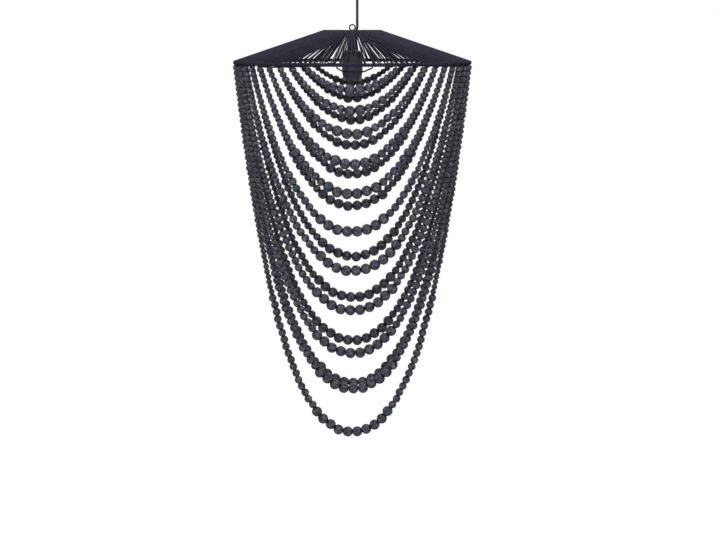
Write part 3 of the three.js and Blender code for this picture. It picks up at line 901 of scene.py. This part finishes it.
class CHANDELIER_OT_string(bpy.types.Operator):
    """Wind the cotton string over the two rings and round the lower ring"""

    bl_idname = "chandelier.string"
    bl_label = "String"

    def execute(self, context):
        s = sizes()
        finish = cotton("charcoal cotton string", colours().string, STRING_TWIST)
        self.add("string_winding_cotton", [self.winding(s)], s.string, finish, ["string_winding"])
        finish = cotton("charcoal cotton wrap", shade(colours().string, 0.9), WRAP_TWIST)
        self.add("lower_ring_wrap", [self.ring_wrap(s)], RING_WRAP, finish, [])
        self.ties(s, finish)
        return {"FINISHED"}

    def add(self, name, routes, thickness, finish, nodes):
        mesh = wires(name, routes, thickness, closed=True, resolution=1)
        mesh.transform(Matrix.Translation(frame_origin()))
        shaped(name, mesh, [finish], "pendant", nodes, crease=180.0)

    def feet(self, count):
        """Where each loop goes round the lower ring: nearly even, with a few wider gaps."""
        rng = random.Random(LOOP_SEED)
        steps = [1.0 + rng.uniform(-LOOP_UNEVENNESS, LOOP_UNEVENNESS) for _ in range(count)]
        for gap, extra in LOOSE_GAPS:
            for angle in (270 + gap, 90 - gap):
                steps[int(angle % 360 / 360 * count)] += extra
        scale = math.tau / sum(steps)
        return [scale * sum(steps[:i]) for i in range(count)]

    def winding(self, s):
        """One unbroken string up over the cone, round the top ring, back under it and round the lower."""
        feet = self.feet(s.loops)
        reach = (s.wire + s.string) / 2
        route = []
        for i, foot in enumerate(feet):
            turns = [
                (foot, s.ring_radius, 0.0, -math.pi / 2),
                (math.tau * (i + 0.5) / s.loops, s.top_radius, s.frame_height, math.pi / 2),
            ]
            for angle, radius, height, begin in turns:
                slope = polar(s.top_radius - s.ring_radius, angle, s.frame_height).normalized()
                inward = -polar(1, angle + math.pi / 2, 0).cross(slope)
                for j in range(5):
                    turn = begin - math.pi * j / 4
                    offset = inward * math.sin(turn) + slope * math.cos(turn)
                    route.append(polar(radius, angle, height) + offset * reach)
        return route

    def ring_wrap(self, s):
        """String wound closely round the lower ring's wire."""
        steps = 7
        count = WRAP_TURNS * steps
        reach = (s.wire + RING_WRAP) / 2
        route = []
        for i in range(count):
            turn = math.tau * i / steps
            radius = s.ring_radius + reach * math.cos(turn)
            route.append(polar(radius, math.tau * i / count, reach * math.sin(turn)))
        return route

    def ties(self, s, finish):
        """A loop of thread round the wrapped ring at each end of every strand."""
        routes = []
        reach = s.wire / 2 + RING_WRAP + TIE_GAP
        around = circle(reach, 0, 14)
        for k in range(-STRANDS_A_SIDE, STRANDS_A_SIDE + 1):
            for side in (0, math.pi):
                angle = side + k * STRAND_PITCH
                routes.append([polar(s.ring_radius + point.x, angle, point.y) for point in around])
        self.add("strand_ties", routes, TIE_THREAD, finish, [])


# Lampholder


class CHANDELIER_OT_lampholder(bpy.types.Operator):
    """Mould the lampholder: strain relief, cap, body and ring nut, with the socket inside"""

    bl_idname = "chandelier.lampholder"
    bl_label = "Lampholder"

    def execute(self, context):
        plastic = once(moulded_plastic)
        parts = [
            ("strain_relief", self.relief(), plastic, "black_plastic"),
            ("lampholder_cap", self.cap(), plastic, "black_plastic"),
            ("lampholder_body", self.body(), plastic, "black_plastic"),
            ("shade_ring_nut", self.nut(), plastic, "black_plastic"),
            ("contact_insulator", self.insulator(), once(glazed_ceramic), "white_plastic"),
            ("screw_shell", self.shell(), once(rolled_brass), "brass"),
        ]
        for node, bm, finish, slot in parts:
            mesh = as_mesh(node, bm, frame_origin())
            shaped(f"{node}_turned", mesh, [finish], "pendant", [node], crease=40.0)
        dress("centre_contact", once(rolled_brass))
        return {"FINISHED"}

    def relief(self):
        """The cord's strain relief: a round foot and four ribs that get thinner upwards."""
        base = HOLDER_TOP + FIT
        foot = base + RELIEF_FOOT
        profile = [(CORD_HOLE, base, 0.0), (RELIEF_RADIUS, base, 0.0003), (RELIEF_RADIUS, foot, 0.0008)]
        groove = 0.0005
        for i in range(4):
            low = foot + 0.001 + i * RELIEF_PITCH
            outer = RELIEF_RADIUS - 0.0003 - groove * i
            profile += [(outer - groove, low, 0.0002), (outer - groove, low + 0.0009, 0.0002)]
            profile += [(outer, low + 0.0012, 0.0002), (outer - 0.0001, low + 0.003, 0.0002)]
        profile += [(0.004, RELIEF_TOP, 0.0004), (CORD_HOLE, RELIEF_TOP, 0.0)]
        return turned(profile, steps=40)

    def cap(self):
        """The domed cap that screws on the body."""
        base = SEAM + FIT
        inside = HOLDER_RADIUS - HOLDER_WALL
        ceiling = HOLDER_TOP - HOLDER_WALL
        return turned(
            [
                (CORD_HOLE, ceiling, 0.0),
                (0.0135, ceiling, 0.002),
                (inside, CAP_SHOULDER, 0.003),
                (inside, base, 0.0),
                (HOLDER_RADIUS, base, 0.0004),
                (HOLDER_RADIUS, CAP_SHOULDER, 0.006),
                (0.019, HOLDER_TOP - 0.0044, 0.003),
                (0.015, HOLDER_TOP, 0.0016),
                (CORD_HOLE, HOLDER_TOP, 0.0004),
            ]
        )

    def body(self):
        """The body: a socket, a threaded stem for the ring nut, and a wide upper part."""
        top = SOCKET_FLOOR + SOCKET_FLOOR_HEIGHT
        inside = HOLDER_RADIUS - HOLDER_WALL
        root = STEM_RADIUS - 0.0006
        profile = [
            (0.0, SOCKET_FLOOR, 0.0),
            (SOCKET_RADIUS, SOCKET_FLOOR, 0.0),
            (SOCKET_RADIUS, HOLDER_RIM, 0.0005),
            (STEM_RADIUS - 0.0009, HOLDER_RIM, 0.0006),
        ]
        for i in range(6):
            low = HOLDER_RIM + 0.0012 + i * STEM_PITCH
            profile += [(root, low, 0.0002), (STEM_RADIUS, low + 0.0008, 0.0002)]
            profile += [(STEM_RADIUS, low + 0.0014, 0.0002), (root, low + 0.0022, 0.0002)]
        profile += [
            (STEM_RADIUS, SHOULDER, 0.0),
            (HOLDER_RADIUS, SHOULDER, 0.0005),
            (HOLDER_RADIUS, SEAM, 0.0004),
            (inside, SEAM, 0.0),
            (inside, top, 0.0),
            (0.0, top, 0.0),
        ]
        return turned(profile, closed=False)

    def nut(self):
        """The shade ring nut: five ribs round a sleeve that tapers downwards."""
        top = SHOULDER - COLLAR_HEIGHT - 2 * FIT
        hole = STEM_RADIUS + FIT
        profile = [(hole, top - NUT_HEIGHT, 0.0002)]
        ribs = 5
        for i in range(ribs):
            for share, depth in zip(NUT_RIB_SHARES, (NUT_GROOVE, 0.0, 0.0, NUT_GROOVE)):
                level = 1 - (i + share) / ribs
                outer = HOLDER_RADIUS - NUT_TAPER * level
                profile.append((outer - depth, top - NUT_HEIGHT * level, 0.0002))
        profile += [(HOLDER_RADIUS - 0.0008, top, 0.0003), (hole, top, 0.0002)]
        return turned(profile)

    def insulator(self):
        """The ceramic disc in the socket's floor, without its underside."""
        top = SOCKET_FLOOR - FIT
        bottom = top - INSULATOR_HEIGHT
        radius = SOCKET_RADIUS - FIT
        return turned(
            [(radius, bottom, 0.0005), (radius, top, 0.0003), (0.0, top, 0.0), (0.0, bottom, 0.0)],
            closed=False,
        )

    def shell(self):
        """A thin brass shell with a rolled thread."""
        top = SOCKET_FLOOR - INSULATOR_HEIGHT - 2 * FIT
        low = top - SHELL_LENGTH
        turns = 6
        inner, outer = [], []
        for i in range(turns * 2 + 1):
            height = top - 0.001 - i * SHELL_PITCH / 2
            radius = SHELL_RADIUS if i % 2 else SHELL_RADIUS - SHELL_DEPTH
            inner.append((radius - SHELL_WALL, height, 0.0006))
            outer.append((radius, height, 0.0006))
        bore = SHELL_RADIUS - SHELL_WALL
        profile = [(bore, top, 0.0), *inner, (bore, low, 0.0), (SHELL_RADIUS, low, 0.0)]
        profile += [*reversed(outer), (SHELL_RADIUS, top, 0.0)]
        return turned(profile)


# Bead strands


def crossing(low, high, value):
    """Where a rising function crosses zero, found by halving."""
    for _ in range(30):
        middle = (low + high) / 2
        if value(middle) < 0:
            low = middle
        else:
            high = middle
    return (low + high) / 2


def hang(beads, span, lead):
    """Where (radius, length) beads on a thread come to rest between two ties at the same height."""
    weights = [radius**BEAD_WEIGHT_POWER * length for radius, length in beads]
    steps = [lead, *((a[1] + b[1]) / 2 for a, b in zip(beads, beads[1:])), lead]
    load = sum(weights)

    def walk(pull, lift):
        x = y = 0.0
        places = []
        for step, weight in zip(steps, [*weights, 0.0]):
            tension = math.hypot(pull, lift)
            x += step * pull / tension
            y -= step * lift / tension
            places.append((x, y))
            lift -= weight
        return places

    def level(pull):
        return crossing(0.0, load, lambda lift: -walk(pull, lift)[-1][1])

    def across(power):
        pull = load * 2**power
        return walk(pull, level(pull))[-1][0] - span

    pull = load * 2 ** crossing(-10.0, 10.0, across)
    return walk(pull, level(pull))[:-1]


def along_thread(clear, way, tie):
    """How far along a thread from its tie a distance off the ring is reached, however it sways."""
    tangent = Vector((-math.sin(tie), math.cos(tie), 0))
    flat = Vector((way[0], 0, way[1])).normalized()
    swayed = [Matrix.Rotation(angle, 3, "X") @ flat for angle in (-SWAY, 0, SWAY)]
    return clear / min(math.sqrt(1 - line.dot(tangent) ** 2) for line in swayed)


class CHANDELIER_OT_beads(bpy.types.Operator):
    """Thread the graded wooden beads and hang each strand between its two ties"""

    bl_idname = "chandelier.beads"
    bl_label = "Bead strands"

    def execute(self, context):
        self.strand("centre_strand", 0.0, 0, *CENTRE_STRAND)
        for name, side, small, lean in (
            ("front_strand", -1, FRONT_SMALL, FRONT_LEAN),
            ("back_strand", 1, BACK_SMALL, BACK_LEAN),
        ):
            for i, row in enumerate(zip(small, MEDIUM, LARGE, lean)):
                self.strand(f"{name}_{i + 1}", STRAND_PITCH * (STRANDS_A_SIDE - i), side, *row)
        return {"FINISHED"}

    def strand(self, node, tie, side, small, medium, large, lean):
        """One strand's beads and thread, between ties at an angle from the ring's left and right."""
        s = sizes()
        diameters = (s.small_bead, s.medium_bead, s.large_bead)
        kinds = [(diameter / 2, *form) for diameter, form in zip(diameters, BEAD_FORMS)]
        left = math.ceil((small + lean) / 2)
        row = [(0, left), (1, medium), (2, large), (1, medium), (0, small - left)]
        beads = [kinds[kind] for kind, count in row for _ in range(count)]
        forms = [bead[:2] for bead in beads]
        span = 2 * s.ring_radius * math.cos(tie)
        lead = FIRST_BEAD_CLEARANCE
        # The first bead's distance along the thread and the thread's slope depend on each other.
        for _ in range(3):
            lead = along_thread(FIRST_BEAD_CLEARANCE, hang(forms, span, lead)[0], tie)
        places = hang(forms, span, lead)
        origin = frame_origin() + Vector((-span / 2, side * s.ring_radius * math.sin(tie), 0))
        points = [origin + Vector((x, 0, y)) for x, y in places]
        ends = [origin, origin + Vector((span, 0, 0))]
        rng = random.Random(node)
        bm = bmesh.new()
        scratch = bpy.data.meshes.new("bead")
        for i, (bead, place) in enumerate(zip(beads, points)):
            before = points[i - 1] if i else ends[0]
            after = points[i + 1] if i + 1 < len(points) else ends[1]
            made = self.bead(rng, bead, place, (after - before).normalized())
            made.to_mesh(scratch)
            made.free()
            bm.from_mesh(scratch)
        bpy.data.meshes.remove(scratch)
        beaded = len(bm.faces)
        bm.from_mesh(self.thread(points, ends, tie))
        bm.faces.ensure_lookup_table()
        for face in bm.faces[beaded:]:
            face.material_index = 1
        finishes = [once(stained_wood), once(thread_finish)]
        shaped(f"{node}_beads", as_mesh(node, bm), finishes, node, [node], crease=60.0)

    def bead(self, rng, bead, place, way):
        """One turned bead, a little off true on its thread, with a dimple round its hole."""
        radius, length, segments, rings = bead
        bm = bmesh.new()
        bmesh.ops.create_uvsphere(bm, u_segments=segments, v_segments=rings, radius=1.0)
        shoulder = 1 / math.cos(math.pi / rings)
        outline = 1 / math.cos(math.pi / segments)
        grain = bm.verts.layers.float_vector.new("grain")
        tone = bm.verts.layers.float.new("tone")
        end = bm.verts.layers.float.new("end")
        offset = Vector([rng.uniform(-1, 1) for _ in range(3)])
        lie = Matrix.Rotation(rng.uniform(0, math.pi), 3, Vector([rng.uniform(-1, 1) for _ in range(3)]))
        bead_tone = rng.random()
        size = Vector((radius * outline, radius * outline, length / 2))
        size *= rng.uniform(1.0, 1 + BEAD_SIZE_SPREAD)
        for vert in bm.verts:
            vert[end] = abs(vert.co.z)
            vert.co.z *= BEAD_END_SHARE if abs(vert.co.z) > 0.999 else shoulder
            vert.co *= size * rng.uniform(1 - BEAD_DENT, 1 + BEAD_DENT)
            vert[grain] = lie @ vert.co + offset
            vert[tone] = bead_tone
        across = Vector((way.z, 0, -way.x))
        loose = radius * LOOSE_SHARE * min(1.0, (frame_origin().z - place.z) / LOOSE_BELOW)
        wobble = Matrix.Rotation(rng.uniform(-BEAD_TILT, BEAD_TILT), 4, across)
        wobble @= Matrix.Rotation(rng.uniform(-BEAD_TURN, BEAD_TURN), 4, "Y")
        roll = Matrix.Rotation(rng.uniform(0, math.tau), 4, "Z")
        turn = way.to_track_quat("Z", "Y").to_matrix().to_4x4()
        seat = Matrix.Translation(place + across * rng.uniform(-loose, loose))
        bm.transform(seat @ wobble @ turn @ roll)
        return bm

    def thread(self, points, ends, tie):
        """The thread through the beads and up to the ring."""
        route = []
        for knot, first in ((ends[0], points[0]), (ends[1], points[-1])):
            way = first - knot
            seat = along_thread(THREAD_SEAT, (way.x, way.z), tie)
            route.append(knot + way.normalized() * seat)
        return wires("thread", [[route[0], *points, route[1]]], THREAD, closed=False, resolution=0)


class CHANDELIER_PT_panel(bpy.types.Panel):
    """The chandelier's sizes, colours and steps"""

    bl_idname = "CHANDELIER_PT_panel"
    bl_label = "Chandelier"
    bl_space_type = "VIEW_3D"
    bl_region_type = "UI"
    bl_category = "Chandelier"

    def draw(self, context):
        layout = self.layout
        for group in (context.scene.chandelier_sizes, context.scene.chandelier_colours):
            box = layout.box()
            for name in group.__annotations__:
                box.prop(group, name)
        for operator in STEPS:
            layout.operator(operator.bl_idname)


STEPS = (
    CHANDELIER_OT_stage,
    CHANDELIER_OT_cord,
    CHANDELIER_OT_rose,
    CHANDELIER_OT_frame,
    CHANDELIER_OT_string,
    CHANDELIER_OT_lampholder,
    CHANDELIER_OT_beads,
)
CLASSES = (ChandelierSizes, ChandelierColours, *STEPS, CHANDELIER_PT_panel)


def register():
    for cls in CLASSES:
        bpy.utils.register_class(cls)
    bpy.types.Scene.chandelier_sizes = PointerProperty(type=ChandelierSizes)
    bpy.types.Scene.chandelier_colours = PointerProperty(type=ChandelierColours)


def unregister():
    del bpy.types.Scene.chandelier_colours
    del bpy.types.Scene.chandelier_sizes
    for cls in reversed(CLASSES):
        bpy.utils.unregister_class(cls)


def main():
    register()
    for operator in STEPS:
        group, name = operator.bl_idname.split(".")
        getattr(getattr(bpy.ops, group), name)()


if __name__ == "__main__":
    main()
